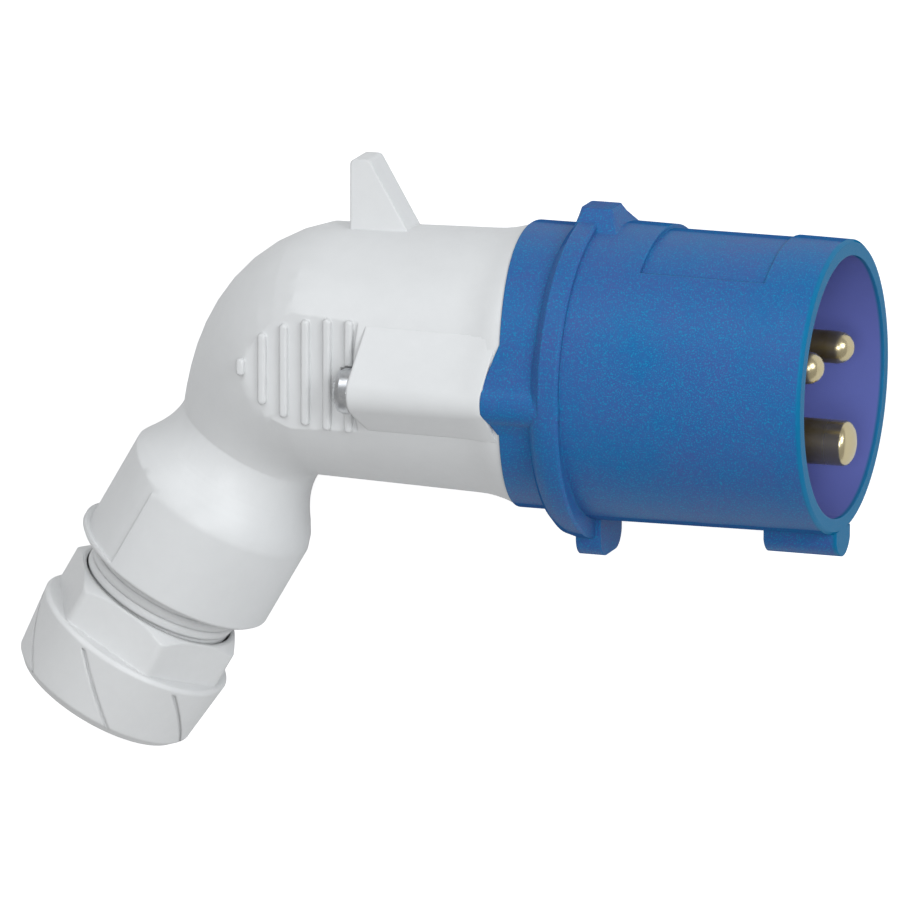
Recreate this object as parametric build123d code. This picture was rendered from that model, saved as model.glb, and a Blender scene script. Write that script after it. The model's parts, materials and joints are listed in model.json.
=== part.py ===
from build123d import *
import math
import os

# Angled industrial plug, earth and two poles, 16 A, lying on its side.
# Every piece is first built in the plug's own frame, in millimetres:
# X runs along the pins towards the socket, with the mouth of the shroud at X = 0,
# Z points to the sighting fin, and Y points to the hidden side.
# Each piece is then laid down on the floor by one and the same placement.

# Pins: sizes of the standard 16 A contact figure.
PIN_CIRCLE_R = 8.75
POLE_PIN_R = 2.5
EARTH_PIN_R = 3.5
POLE_TIP_X = -0.9
EARTH_TIP_X = 1.8
POLE_DOME = 2.5
EARTH_DOME = 1.7
PIN_SPREAD_DEG = 120.0

# Shroud and its flange.
SHROUD_R = 22.6
SHROUD_WALL = 2.45
SHROUD_DRAFT = 0.0125
MOUTH_ROUND = 0.45
RING_SETBACK = 2.1
RING_DEPTH = 5.5
RING_UPPER_DEPTH = 4.3
RING_R = 24.1
RING_DROP = 2.0
RING_ROUND = 3.2
RING_EDGE = 0.4
ROUND_STEPS = 3
REAR_LENGTH = 11.3
REAR_SAG = 2.1
REAR_COLLAR_R = 22.1
REAR_COLLAR_WALL = 2.1
FLOOR_DEPTH = 36.0
FLOOR_THICK = 3.0
KEY_LENGTH = 11.7
KEY_R = 3.4
KEY_RISE = 4.3
PANEL_START = 8.6
PANEL_LENGTH = 19.8
PANEL_HALF_DEG = 36.0
PANEL_DEPTH = 0.5
TOP_LUG_BASE = 12.5
TOP_LUG_TIP = 5.2
TOP_LUG_BASE_LENGTH = 8.2
TOP_LUG_TIP_LENGTH = 4.9
TOP_LUG_HEIGHT = 4.0
TOP_LUG_LEAN = 0.65
LOW_LUG_HALF = 5.2
LOW_LUG_DROP = 7.1
LOW_LUG_THICK = 4.0
LUG_ROUND = 3.0

# Side screw bosses: one section shared by both mouldings.
BOSS_Z = -1.8
BOSS_REACH = 23.3
BOSS_TOP_Z = 7.5
BOSS_LOW_Z = -8.2
BOSS_TONGUE = 0.3
BOSS_LENGTH = 21.6
BOSS_SLANT = 0.41
BOSS_CORE_R = 3.7
SCREW_Y = 20.0
SCREW_R = 2.0
SCREW_LENGTH = 31.0
HEAD_R = 3.5
HEAD_THICK = 2.5
INSERT_R = 2.6
INSERT_LENGTH = 8.0
INSERT_SINK = 1.0

# Body tube and bend.
FLARE_R = 21.8
FLARE_LENGTH = 7.0
FLARE_STEPS = 4
BODY_FRONT_R = 20.35
BODY_BEND_R = 19.6
TUBE_LENGTH = 32.9
BEND_DEG = 60.0
BEND_INNER_R = 2.8
BEND_STEPS = 10
BEND_MIX = 0.35
NECK_R = 11.8
TERMINAL_ROOM = 0.9
SPIGOT_R = 19.35
SPIGOT_BORE_R = 16.9
FLAT_Y = 18.0
FLAT_LENGTH = 24.8
FLAT_TILT_DEG = 3.15
FLAT_WALL = 3.0
RIB_COUNT = 6
RIB_START = 1.4
RIB_PITCH = 3.58
RIB_WIDTH = 1.3
RIB_RISE = 0.75
RIB_EDGE = 0.25
RIB_FIELD_HALF = 8.8
RIB_FIELD_LENGTH = 16.7
RIB_FIELD_MID = 2.8
FIN_SETBACK = 18.9
FIN_LENGTH = 9.5
FIN_TIP_LENGTH = 3.1
FIN_RISE = 11.0
FIN_HALF = 2.9

# Outlet: lengths are counted along its own axis from the corner of the two axes.
SHOULDER_LENGTH = 7.2
SHOULDER_STEPS = 4
SHOULDER_CURVE = 1.5
NECK_END = 21.8
CORE_LENGTH = 9.8
CORE_END_R = 12.0
COLLAR_R = 16.25
COLLAR_END = 42.8
PAD_R = 16.62
PAD_SHIFT = 1.47
PAD_EDGE = 6.3
PAD_START = 24.0
THREAD_R = 12.45
THREAD_DEPTH = 0.85
SPIGOT_END = 57.0
CABLE_BORE_R = 8.8
SEAL_SEAT = 41.0
SEAL_BORE_R = 9.8
SEAL_LENGTH = 10.2
SEAL_HOLE_R = 5.5

# Gland nut and what it pushes.
NUT_TOP = 47.8
NUT_FLATS = 26.4
HEX_LENGTH = 7.0
SKIRT_R = 15.9
SKIRT_END_R = 14.9
NUT_END = 66.6
NUT_BORE_GAP = 0.2
NUT_RELIEF = 5.3
NUT_EXIT_R = 8.2
NUT_CORNER_ROUND = 1.6
NUT_PHASE_DEG = 2.7
FLUTE_COUNT = 6
FLUTE_DEPTH = 0.45
FLUTE_WIDTH = 0.45
FLUTE_SLANT_DEG = 44.0
NUT_TRAVEL = 4.5
RING_FLANGE = 1.2
RING_BORE_R = 7.4
WASHER_THICK = 0.5

# Contact carrier and terminals.
CARRIER_FLANGE_X = 4.5
CARRIER_R = 14.6
CARRIER_LENGTH = 13.0
GASKET_THICK = 2.0
GASKET_BORE_R = 14.95
PIN_STEP = 0.4
POLE_BARREL_R = 3.6
EARTH_BARREL_R = 4.3
BARREL_LENGTH = 13.0
PLATE_THICK = 2.4
WIRE_DEPTH = 10.0
DOME_STEPS = 4
RETAINER_SCREW_Y = 3.2
RETAINER_SCREW_R = 1.2
RETAINER_HEAD_R = 2.3
RETAINER_HEAD_THICK = 1.6
RETAINER_BITE = 6.0
TERMINAL_SCREW_R = 1.5
TERMINAL_LIFT = 0.8
TERMINAL_HEAD_R = 2.4
TERMINAL_HEAD_THICK = 1.8

# Small allowances between pieces that touch or pass one another.
SNUG = 0.05
EASY = 0.15
FREE = 0.3
SEATED = 0.02

# How the plug comes to rest on its hidden side.
REST_ROLL_DEG = 8.161
REST_PITCH_DEG = -1.099

floor_front = -FLOOR_DEPTH
floor_rear = floor_front - FLOOR_THICK
ring_front = floor_front - RING_SETBACK
ring_rear = ring_front - RING_DEPTH
rear_x = floor_rear - REAR_LENGTH
boss_blue_x = rear_x - BOSS_TONGUE
boss_white_x = boss_blue_x - BOSS_LENGTH
bend_x = rear_x - TUBE_LENGTH
axle = Plane(origin=(0, 0, 0), x_dir=(0, 1, 0), z_dir=(1, 0, 0))
bend = math.radians(BEND_DEG)
tilt = math.pi / 2 - bend
pivot = (bend_x, -BODY_BEND_R - BEND_INNER_R)
throat = BEND_INNER_R + NECK_R
bend_end = (pivot[0] - throat * math.sin(bend), pivot[1] + throat * math.cos(bend))
run_back = -bend_end[1] / math.cos(tilt)
corner_x = bend_end[0] + run_back * math.sin(tilt)
outlet = Plane(
    origin=(corner_x, 0, 0),
    x_dir=(math.cos(tilt), 0, -math.sin(tilt)),
    z_dir=(-math.sin(tilt), 0, -math.cos(tilt)),
)


def rod(radius, start, end):
    """A round bar along the local Z axis."""
    return Pos(0, 0, (start + end) / 2) * Cylinder(radius, abs(end - start))


def ring(outer, inner, start, end):
    """A round tube along the local Z axis."""
    return rod(outer, start, end) - rod(inner, start, end)


def turned(points):
    """A solid turned about the local Z axis from (radius, height) corners."""
    outline = Plane.XZ * Polyline(*points, close=True)
    return revolve(make_face(outline), Axis.Z, 360)


def slab(x0, x1, y0, y1, z0, z1):
    """A block given by its six faces."""
    middle = Pos((x0 + x1) / 2, (y0 + y1) / 2, (z0 + z1) / 2)
    return middle * Box(abs(x1 - x0), abs(y1 - y0), abs(z1 - z0))


def screw_axis(side):
    """Local frame of a side screw: its Z runs towards the mouth."""
    return Plane(origin=(0, side * SCREW_Y, BOSS_Z), x_dir=(0, 1, 0), z_dir=(1, 0, 0))


def pin_axis(turn_deg):
    """Local frame of a pin: its X points away from the plug axis."""
    turn = math.radians(turn_deg)
    y, z = PIN_CIRCLE_R * math.sin(turn), PIN_CIRCLE_R * math.cos(turn)
    return Plane(
        origin=(0, y, z), x_dir=(0, math.sin(turn), math.cos(turn)), z_dir=(1, 0, 0)
    )


EARTH_TURN = 180.0
LINE_TURN = EARTH_TURN + PIN_SPREAD_DEG
NEUTRAL_TURN = EARTH_TURN - PIN_SPREAD_DEG
PIN_TURNS = (LINE_TURN, NEUTRAL_TURN, EARTH_TURN)


def boss_section(side, merge_r, shrink):
    """Cross-section of a side boss, drawn in the (Y, Z) plane."""
    inner = SPIGOT_R - 1.0
    reach = BOSS_REACH - shrink
    half = BOSS_CORE_R / 2
    a = (side * inner, BOSS_TOP_Z + 0.6)
    b = (side * math.sqrt(merge_r**2 - BOSS_TOP_Z**2), BOSS_TOP_Z)
    c = (side * (reach - 0.35), BOSS_Z + half)
    m = (side * reach, BOSS_Z + 0.1)
    d = (side * (reach - 0.6), BOSS_Z - half)
    e = (side * (math.sqrt(merge_r**2 - BOSS_LOW_Z**2) - 0.3), BOSS_LOW_Z)
    f = (side * inner, BOSS_LOW_Z)
    edge = Polyline(a, b, c) + ThreePointArc(c, m, d) + Polyline(d, e, f, a)
    return make_face(edge)


def boss_bar(side, low, high, merge_r, shrink=0.0):
    """A side boss between two stations along the plug axis."""
    bar = extrude(boss_section(side, merge_r, shrink), amount=high - low, dir=(0, 0, 1))
    return axle * (Pos(0, 0, low) * bar)


def mating_space():
    """Everything in front of the joint line between the two mouldings."""
    half_width = REAR_COLLAR_R
    sweep_r = half_width**2 / (2 * REAR_SAG)
    barrel = Pos(rear_x + sweep_r, 0, 0) * Cylinder(sweep_r, 80)
    space = barrel & slab(-70, 20, -40, 40, -40, 40)
    half = BOSS_CORE_R / 2
    tongue = Polyline(
        (rear_x + 10, BOSS_TOP_Z),
        (rear_x + 1.9, BOSS_TOP_Z),
        (boss_blue_x, BOSS_Z + 1.6 * half),
        (boss_blue_x, BOSS_Z - 0.7 * half),
        (rear_x + 1.7, BOSS_LOW_Z + 1.6),
        (rear_x + 10, BOSS_LOW_Z + 1.6),
        close=True,
    )
    tongue = extrude(Plane.XZ * make_face(tongue), amount=30, both=True)
    return space + (tongue - slab(-80, 20, 1.0 - SPIGOT_R, SPIGOT_R - 1.0, -40, 40))


def shroud_radius(x):
    """Outside radius of the tapered shroud at a station behind the mouth."""
    return SHROUD_R - SHROUD_DRAFT * x


def front_shroud():
    """Blue moulding with shroud, floor, flange and rear collar."""
    inner = SHROUD_R - SHROUD_WALL
    root = shroud_radius(ring_front)
    collar_in = REAR_COLLAR_R - REAR_COLLAR_WALL
    rear = rear_x - 1.0
    upper_rear = ring_front - RING_UPPER_DEPTH
    body = turned(
        [
            (inner, 0),
            (SHROUD_R - MOUTH_ROUND, 0),
            (SHROUD_R, -MOUTH_ROUND),
            (root, ring_front),
            (RING_R - RING_EDGE, ring_front),
            (RING_R, ring_front - RING_EDGE),
            (RING_R, upper_rear + 3 * RING_EDGE),
            (RING_R - 3 * RING_EDGE, upper_rear),
            (REAR_COLLAR_R, upper_rear),
            (REAR_COLLAR_R, rear),
            (collar_in, rear),
            (collar_in, floor_rear),
            (0, floor_rear),
            (0, floor_front),
            (inner, floor_front),
        ]
    )
    rounding = [(RING_R - RING_EDGE, ring_front), (RING_R, ring_front - RING_EDGE)]
    for step in range(ROUND_STEPS + 1):
        turn = math.pi / 2 * step / ROUND_STEPS
        radius = RING_R - RING_ROUND * (1 - math.cos(turn))
        rounding.append((radius, ring_rear + RING_ROUND * (1 - math.sin(turn))))
    eye = RING_R - RING_ROUND - 1.0
    low_ring = turned([(eye, ring_front)] + rounding + [(eye, ring_rear)])
    body += Pos(0, -RING_DROP, 0) * low_ring
    body = axle * body

    lug_x = ring_front - BOSS_TONGUE
    foot = Pos(lug_x, 0, root - 1.5) * Rectangle(TOP_LUG_BASE_LENGTH, TOP_LUG_BASE)
    tip_place = Pos(lug_x - TOP_LUG_LEAN, 0, root - 1.5 + TOP_LUG_HEIGHT)
    tip = tip_place * fillet(Rectangle(TOP_LUG_TIP_LENGTH, TOP_LUG_TIP).vertices(), 0.5)
    body += loft([foot, tip], ruled=True)
    low = Pos(0, -(root - 1.5 + LOW_LUG_DROP / 2)) * Rectangle(2 * LOW_LUG_HALF, LOW_LUG_DROP)
    low = fillet(low.vertices().sort_by(Axis.Y)[:2], LUG_ROUND)
    tab = extrude(low, amount=LOW_LUG_THICK, dir=(0, 0, 1))
    body += axle * (Pos(0, 0, ring_front + 0.8 - LOW_LUG_THICK) * tab)

    key = make_face(
        Polyline((-KEY_R, 0), (-KEY_R, -KEY_RISE * 0.45))
        + ThreePointArc((-KEY_R, -KEY_RISE * 0.45), (0, -KEY_RISE), (KEY_R, -KEY_RISE * 0.45))
        + Polyline((KEY_R, -KEY_RISE * 0.45), (KEY_R, 0), (-KEY_R, 0))
    )
    key = extrude(key, amount=KEY_LENGTH, dir=(0, 0, 1))
    body += axle * (Pos(0, -(SHROUD_R - 0.5), -KEY_LENGTH) * key)

    for side in (-1, 1):
        body += boss_bar(side, rear - 2.0, ring_rear + 1.0, REAR_COLLAR_R)
    body -= axle * rod(collar_in, rear - 3.0, floor_rear)
    for side in (-1, 1):
        body += screw_axis(side) * rod(BOSS_CORE_R, rear - 2.0, floor_rear + 1.0)
    body = body & mating_space()

    body -= axle * rod(inner, floor_front, 1)

    panel_mid = -PANEL_START - PANEL_LENGTH / 2
    deep = shroud_radius(panel_mid) - PANEL_DEPTH
    shell = ring(SHROUD_R + 4, deep, -PANEL_START - PANEL_LENGTH, -PANEL_START)
    spread = 40 * math.tan(math.radians(PANEL_HALF_DEG))
    fan = extrude(make_face(Polyline((0, 0), (spread, 40), (-spread, 40), close=True)), 60)
    body -= axle * (shell & (Pos(0, 0, -50) * fan))

    for side in (-1, 1):
        depth = INSERT_SINK + INSERT_LENGTH
        hole = rod(INSERT_R, boss_blue_x - 1, boss_blue_x + depth)
        hole += rod(SCREW_R + EASY, boss_blue_x, boss_white_x + SCREW_LENGTH + 1.0)
        body -= screw_axis(side) * hole
    for turn, radius in zip(PIN_TURNS, (POLE_PIN_R, POLE_PIN_R, EARTH_PIN_R)):
        body -= pin_axis(turn) * rod(radius + PIN_STEP + EASY, floor_rear - 1, floor_front + 1)
    return body


def bend_radius(share):
    """Radius of the bend from the body tube (0) to the neck (1)."""
    ease = (1 - BEND_MIX) * (1 - share) + BEND_MIX * (1 + math.cos(math.pi * share)) / 2
    return NECK_R + (BODY_BEND_R - NECK_R) * ease


def bend_solid():
    """The lofted bend between the body tube and the neck."""
    sections = []
    for step in range(BEND_STEPS + 1):
        share = step / BEND_STEPS
        turn = bend * share
        radius = bend_radius(share)
        reach = BEND_INNER_R + radius
        centre = (pivot[0] - reach * math.sin(turn), 0, pivot[1] + reach * math.cos(turn))
        along = (-math.cos(turn), 0, -math.sin(turn))
        frame = Plane(origin=centre, x_dir=(math.sin(turn), 0, -math.cos(turn)), z_dir=along)
        sections.append(frame * Circle(radius))
    return loft(sections, ruled=True)


def elbow_housing():
    """Light grey moulding: body tube, bend, collar and threaded spigot."""
    front = rear_x + 4.0
    flare = [(0, front), (FLARE_R, front)]
    for step in range(FLARE_STEPS + 1):
        share = 1 - step / FLARE_STEPS
        radius = BODY_FRONT_R + (FLARE_R - BODY_FRONT_R) * share**2
        flare.append((radius, rear_x - FLARE_LENGTH * (1 - share)))
    body = axle * turned(flare + [(BODY_BEND_R, bend_x), (0, bend_x)])
    body += bend_solid()
    bend_stop = run_back
    shoulder = [(NECK_R, bend_stop)]
    for step in range(SHOULDER_STEPS + 1):
        share = step / SHOULDER_STEPS
        radius = COLLAR_R - (COLLAR_R - NECK_R) * (1 - share) ** SHOULDER_CURVE
        shoulder.append((radius, NECK_END + SHOULDER_LENGTH * share))
    core = THREAD_R - THREAD_DEPTH
    profile = [(0, bend_stop)] + shoulder + [
        (COLLAR_R, COLLAR_END - 0.5),
        (COLLAR_R - 0.5, COLLAR_END),
        (core, COLLAR_END),
        (core, SPIGOT_END - 0.5),
        (core - 0.5, SPIGOT_END),
        (0, SPIGOT_END),
    ]
    body += outlet * turned(profile)

    for side in (-1, 1):
        bar = boss_bar(side, boss_white_x - 5.0, front, BODY_FRONT_R, 0.12)
        lean = BOSS_SLANT * 15
        tail = Polyline(
            (front, side * 15),
            (boss_white_x + BOSS_SLANT * 8, side * 15),
            (boss_white_x + BOSS_SLANT * 8 - lean, side * 30),
            (front, side * 30),
            close=True,
        )
        body += bar & extrude(make_face(tail), amount=20, both=True)
    body -= mating_space()
    body += axle * ring(SPIGOT_R, SPIGOT_BORE_R, spigot_front(), rear_x - 2.0)

    fin_foot = rear_x - FIN_SETBACK
    fin_rear = fin_foot - FIN_LENGTH
    fin_top = BODY_BEND_R + FIN_RISE
    fin = Polyline(
        (fin_rear, BODY_BEND_R - 2),
        (fin_rear, fin_top),
        (fin_rear + FIN_TIP_LENGTH, fin_top),
        (fin_foot, BODY_BEND_R),
        (fin_foot, BODY_BEND_R - 2),
        close=True,
    )
    fin = extrude(Plane.XZ * make_face(fin), amount=FIN_HALF, both=True)
    fin = fillet(fin.edges().filter_by(Axis.Y).sort_by(Axis.Z)[-2:], 0.9)
    body += fin

    for side in (-1, 1):
        flat = flat_plane(side)
        body -= flat * (Pos(0, -side * FLAT_LENGTH / 2, 6) * Box(24, FLAT_LENGTH, 12))
        for number in range(RIB_COUNT):
            body += flat * grip_rib(side, RIB_START + number * RIB_PITCH)

    pad = rod(COLLAR_R + 3, PAD_START, COLLAR_END - 1.1)
    pad -= Pos(PAD_SHIFT, 0, 0) * rod(PAD_R, PAD_START - 1, COLLAR_END)
    body -= outlet * (pad & slab(-30, -PAD_EDGE, -30, 30, PAD_START, COLLAR_END))

    bore_r = PIN_CIRCLE_R + EARTH_BARREL_R + TERMINAL_LIFT + TERMINAL_HEAD_THICK + TERMINAL_ROOM
    hollow = axle * turned(
        [
            (0, rear_x - 2.0),
            (SPIGOT_BORE_R, rear_x - 2.0),
            (bore_r, rear_x - 5.0),
            (bore_r, bend_x),
            (CORE_END_R, bend_x - CORE_LENGTH),
            (0, bend_x - CORE_LENGTH),
        ]
    )
    hollow = hollow & slab(-120, 0, -(FLAT_Y - FLAT_WALL), FLAT_Y - FLAT_WALL, -40, 40)
    hollow += axle * rod(SPIGOT_BORE_R, rear_x - 2.0, front + 1)
    hollow += outlet * rod(CABLE_BORE_R, 0, SEAL_SEAT + 1.0)
    body -= hollow
    body -= outlet * rod(SEAL_BORE_R, SEAL_SEAT, SPIGOT_END + 1.0)

    for side in (-1, 1):
        notch = screw_axis(side) * rod(BOSS_CORE_R + FREE, boss_blue_x, front + 2)
        body += screw_axis(side) * rod(BOSS_CORE_R, boss_white_x, boss_blue_x)
        body -= notch & (axle * rod(SPIGOT_R + SNUG, boss_blue_x, front + 2))
        body -= screw_axis(side) * rod(SCREW_R + EASY, boss_white_x - 1, 0)
        body -= screw_axis(side) * rod(HEAD_R + FREE, boss_white_x - HEAD_THICK - FREE, boss_white_x)
    return body


def flat_plane(side):
    """Local frame of a grip flat: X points to the fin, Z out of the flat."""
    lean = math.radians(FLAT_TILT_DEG)
    return Plane(
        origin=(boss_white_x, side * FLAT_Y, 0),
        x_dir=(0, 0, 1),
        z_dir=(-math.sin(lean), side * math.cos(lean), 0),
    )


def grip_rib(side, setback):
    """One raised rib of the grip, shorter the further it lies from the middle."""
    off_middle = (setback - RIB_FIELD_MID) / RIB_FIELD_LENGTH
    half = RIB_FIELD_HALF * math.sqrt(1 - off_middle**2)
    rib = extrude(SlotOverall(2 * half, RIB_WIDTH), amount=RIB_RISE + 1.0)
    rib = chamfer(rib.faces().sort_by(Axis.Z)[-1].edges(), RIB_EDGE)
    return Pos(0, -side * setback, -1.0) * rib


def spigot_front():
    """Station of the spigot's front edge, where it presses the gasket."""
    return floor_rear - CARRIER_FLANGE_X - GASKET_THICK


def boss_notches(extra):
    """Round notches that let the two screw bosses pass."""
    first = screw_axis(-1) * rod(BOSS_CORE_R + extra, -60, 0)
    return first + screw_axis(1) * rod(BOSS_CORE_R + extra, -60, 0)


def contact_carrier():
    """Insulating block that holds the three pins behind the floor."""
    inside = REAR_COLLAR_R - REAR_COLLAR_WALL - EASY
    flange_end = floor_rear - CARRIER_FLANGE_X
    end = floor_rear - CARRIER_LENGTH
    block = axle * (rod(inside, flange_end, floor_rear) + rod(CARRIER_R, end, flange_end))
    block -= boss_notches(FREE)
    for turn, radius in zip(PIN_TURNS, (POLE_PIN_R, POLE_PIN_R, EARTH_PIN_R)):
        block -= pin_axis(turn) * rod(radius + PIN_STEP + SNUG, end - 1, floor_rear + 1)
    for side in (-1, 1):
        block -= axle * (Pos(side * RETAINER_SCREW_Y, 0) * rod(RETAINER_SCREW_R + SNUG, end - 1, end + RETAINER_BITE + 1))
    return block


def contact_pin(turn, radius, barrel, tip, dome):
    """Turned brass pin with domed nose, stepped foot and wire barrel."""
    end = floor_rear - CARRIER_LENGTH
    far = end - BARREL_LENGTH
    nose = [(0, tip)]
    for step in range(1, DOME_STEPS + 1):
        angle = math.pi / 2 * step / DOME_STEPS
        nose.append((radius * math.sin(angle), tip - dome * (1 - math.cos(angle))))
    foot = radius + PIN_STEP
    profile = nose + [
        (radius, floor_front),
        (foot, floor_front),
        (foot, end),
        (barrel, end),
        (barrel, far),
        (0, far),
    ]
    wire_r = barrel * 0.5
    pin = turned(profile) - rod(wire_r, far - 1, far + WIRE_DEPTH)
    cross = Pos(0, 0, far + WIRE_DEPTH / 2) * Rot(0, 90, 0)
    pin -= cross * rod(TERMINAL_SCREW_R + SNUG, 0, barrel + 1)
    return pin_axis(turn) * pin


def terminal_screw(turn, barrel):
    """Slotted screw that clamps the wire in a barrel."""
    far = floor_rear - CARRIER_LENGTH - BARREL_LENGTH
    start = barrel * 0.25
    seat = barrel + TERMINAL_LIFT
    screw = rod(TERMINAL_SCREW_R, start, seat)
    screw += rod(TERMINAL_HEAD_R, seat, seat + TERMINAL_HEAD_THICK)
    screw -= slab(-0.35, 0.35, -4, 4, seat + TERMINAL_HEAD_THICK * 0.45, seat + 4)
    return pin_axis(turn) * (Pos(0, 0, far + WIRE_DEPTH / 2) * Rot(0, 90, 0) * screw)


def retainer_plate():
    """Plate behind the carrier that holds the barrels apart."""
    start = floor_rear - CARRIER_LENGTH
    plate = axle * rod(CARRIER_R, start - PLATE_THICK, start)
    for turn, barrel in zip(PIN_TURNS, (POLE_BARREL_R, POLE_BARREL_R, EARTH_BARREL_R)):
        plate -= pin_axis(turn) * rod(barrel + EASY, start - PLATE_THICK - 1, start + 1)
    for side in (-1, 1):
        plate -= axle * (Pos(side * RETAINER_SCREW_Y, 0) * rod(RETAINER_SCREW_R + EASY, start - 4, start + 1))
    return plate


def retainer_screw(side):
    """Small slotted screw of the retainer plate."""
    plate_rear = floor_rear - CARRIER_LENGTH - PLATE_THICK
    crown = plate_rear - RETAINER_HEAD_THICK
    screw = rod(RETAINER_SCREW_R, plate_rear, plate_rear + PLATE_THICK + RETAINER_BITE)
    screw += rod(RETAINER_HEAD_R, crown, plate_rear)
    screw -= slab(-4, 4, -0.3, 0.3, crown - 1, crown + RETAINER_HEAD_THICK * 0.45)
    return axle * (Pos(side * RETAINER_SCREW_Y, 0) * screw)


def housing_gasket():
    """Flat rubber ring squeezed between carrier flange and spigot."""
    front = floor_rear - CARRIER_FLANGE_X
    gasket = axle * ring(SPIGOT_R - EASY, GASKET_BORE_R, front - GASKET_THICK, front)
    return gasket - boss_notches(FREE)


def body_screw(side):
    """Pan-head screw with slot and cross, one in each side boss."""
    seat = boss_white_x
    head = turned(
        [
            (0, seat),
            (HEAD_R, seat),
            (HEAD_R, seat - HEAD_THICK * 0.55),
            (HEAD_R * 0.93, seat - HEAD_THICK * 0.8),
            (HEAD_R * 0.72, seat - HEAD_THICK),
            (0, seat - HEAD_THICK),
        ]
    )
    top = seat - HEAD_THICK
    head -= slab(-0.5, 0.5, -5, 5, top - 1, top + 1.1)
    head -= slab(-2.1, 2.1, -0.5, 0.5, top - 1, top + 1.5)
    tip = seat + SCREW_LENGTH
    shank = rod(SCREW_R, seat, tip - 1.2)
    shank += Pos(0, 0, tip - 0.6) * Cone(SCREW_R, SCREW_R * 0.45, 1.2)
    return screw_axis(side) * (head + shank)


def screw_insert(side):
    """Threaded brass sleeve sunk in the blue boss."""
    start = boss_blue_x + INSERT_SINK
    return screw_axis(side) * ring(INSERT_R, SCREW_R + SNUG, start, start + INSERT_LENGTH)


def gland_nut():
    """Cap nut with hexagon, fluted skirt and open cable exit."""
    hex_end = NUT_TOP + HEX_LENGTH
    hexagon = RegularPolygon(radius=NUT_FLATS / 2, side_count=6, major_radius=False)
    hexagon = fillet(hexagon.vertices(), NUT_CORNER_ROUND)
    block = Pos(0, 0, NUT_TOP) * extrude(hexagon, amount=HEX_LENGTH + 1)
    corner = NUT_FLATS / 2 / math.cos(math.pi / 6)
    bevel = turned(
        [
            (0, NUT_TOP),
            (NUT_FLATS / 2 + 0.1, NUT_TOP),
            (corner + 0.1, NUT_TOP + 1.5),
            (corner + 0.1, hex_end + 1),
            (0, hex_end + 1),
        ]
    )
    nut = block & bevel
    nut += turned(
        [
            (0, hex_end),
            (SKIRT_R - 0.5, hex_end),
            (SKIRT_R, hex_end + 0.6),
            (SKIRT_END_R, NUT_END - 1.2),
            (SKIRT_END_R - 1.1, NUT_END),
            (0, NUT_END),
        ]
    )
    cut_r = SKIRT_R - FLUTE_DEPTH
    shell = turned(
        [
            (cut_r, hex_end + 1.2),
            (SKIRT_R + 3, hex_end + 1.2),
            (SKIRT_R + 3, NUT_END + 1),
            (SKIRT_END_R - FLUTE_DEPTH, NUT_END + 1),
        ]
    )
    mid = (hex_end + NUT_END) / 2
    blade = Rot(0, 90, 0) * Box(40, FLUTE_WIDTH, SKIRT_R)
    blade = Pos(SKIRT_R, 0, 0) * (Rot(FLUTE_SLANT_DEG, 0, 0) * blade)
    for number in range(FLUTE_COUNT):
        turn = 360.0 * number / FLUTE_COUNT + 22.0
        nut -= shell & (Pos(0, 0, mid) * Rot(0, 0, turn) * blade)
    relief_r = THREAD_R + NUT_BORE_GAP
    relief_end = NUT_TOP + NUT_RELIEF
    bore = THREAD_R - THREAD_DEPTH + FREE
    stop = nut_shoulder()
    nut -= turned(
        [
            (0, NUT_TOP - 1),
            (relief_r, NUT_TOP - 1),
            (relief_r, relief_end),
            (bore, relief_end),
            (bore, stop),
            (NUT_EXIT_R, stop),
            (NUT_EXIT_R, NUT_END + 0.1),
            (0, NUT_END + 0.1),
        ]
    )
    return outlet * (Rot(0, 0, NUT_PHASE_DEG) * nut)


def ring_seat():
    """Station of the pressure ring's flange, clear of the spigot when tight."""
    return SPIGOT_END + NUT_TRAVEL + FREE


def nut_shoulder():
    """Station of the inner shoulder of the nut."""
    return ring_seat() + RING_FLANGE + WASHER_THICK + SEATED


def gland_pressure_ring():
    """Plastic ring that the nut pushes on the seal."""
    seat = ring_seat()
    nose = SEAL_SEAT + SEAL_LENGTH + NUT_TRAVEL + 0.2
    body = rod(THREAD_R - THREAD_DEPTH, seat, seat + RING_FLANGE)
    body += rod(SEAL_BORE_R - FREE, nose, seat)
    return outlet * (body - rod(RING_BORE_R, nose - 1, seat + RING_FLANGE + 1))


def friction_washer():
    """Thin washer between the nut and the pressure ring."""
    start = ring_seat() + RING_FLANGE
    return outlet * ring(THREAD_R - THREAD_DEPTH, NUT_EXIT_R, start, start + WASHER_THICK)


def gland_seal():
    """Rubber bush that closes round the cable."""
    end = SEAL_SEAT + SEAL_LENGTH
    body = turned(
        [
            (SEAL_HOLE_R, SEAL_SEAT),
            (SEAL_BORE_R - SNUG, SEAL_SEAT),
            (SEAL_BORE_R - SNUG, end - 1.0),
            (SEAL_BORE_R - 1.2, end),
            (SEAL_HOLE_R + 0.6, end),
            (SEAL_HOLE_R, end - 0.8),
        ]
    )
    return outlet * body


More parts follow.
